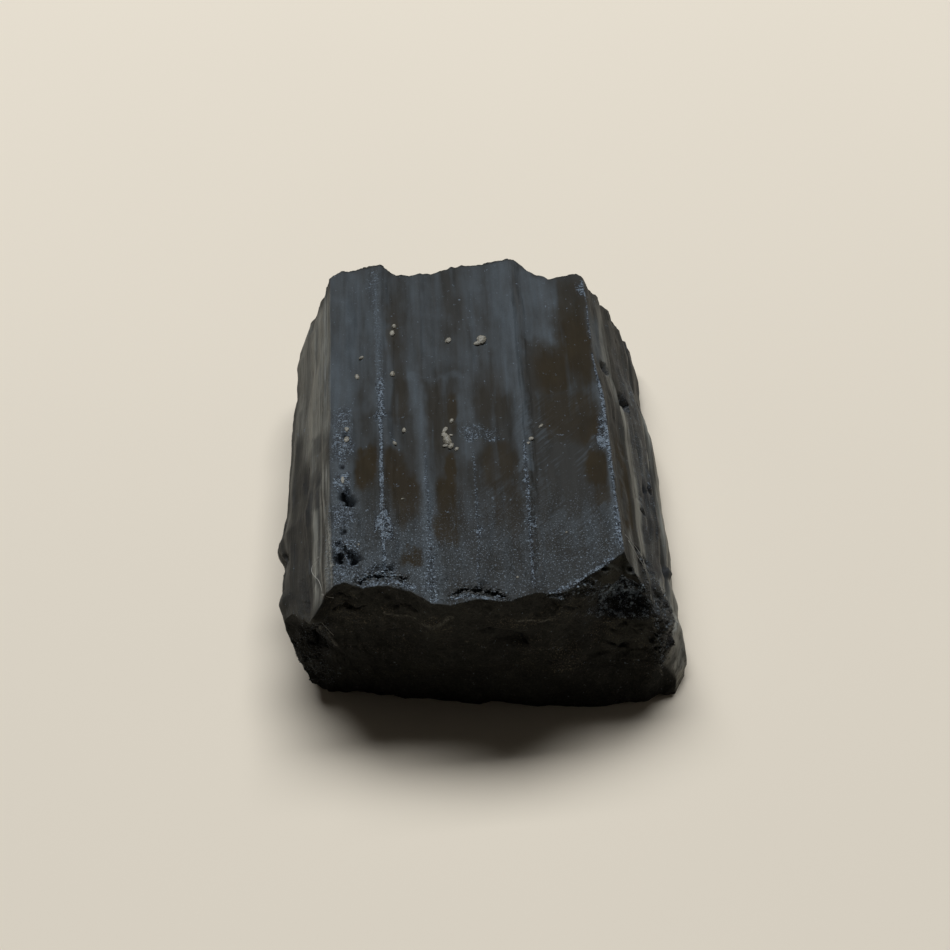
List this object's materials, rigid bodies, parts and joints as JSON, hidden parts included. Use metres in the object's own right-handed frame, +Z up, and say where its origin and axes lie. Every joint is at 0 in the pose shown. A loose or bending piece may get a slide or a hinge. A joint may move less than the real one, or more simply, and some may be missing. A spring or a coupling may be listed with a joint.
{
  "type": "tourmaline crystal",
  "caption": "Broken length of a black striated tourmaline prism lying on a prism face, with rough fractured ends, for display or study.",
  "frame": {"origin": "bottom centre of the bounding box, on the resting prism face", "axes": "+Y along the crystal's long axis, away from the nearer broken end; +Z up from the resting face; +X to the right seen from the nearer end"},
  "size_m": [0.031, 0.0412, 0.0117],
  "materials": {
    "schorl": "brown-black, glassy in patches, frosted and worn along the ridges, matt on the broken ends"
  },
  "bodies": {
    "root": {"tourmaline_crystal": "schorl"}
  },
  "joints": []
}
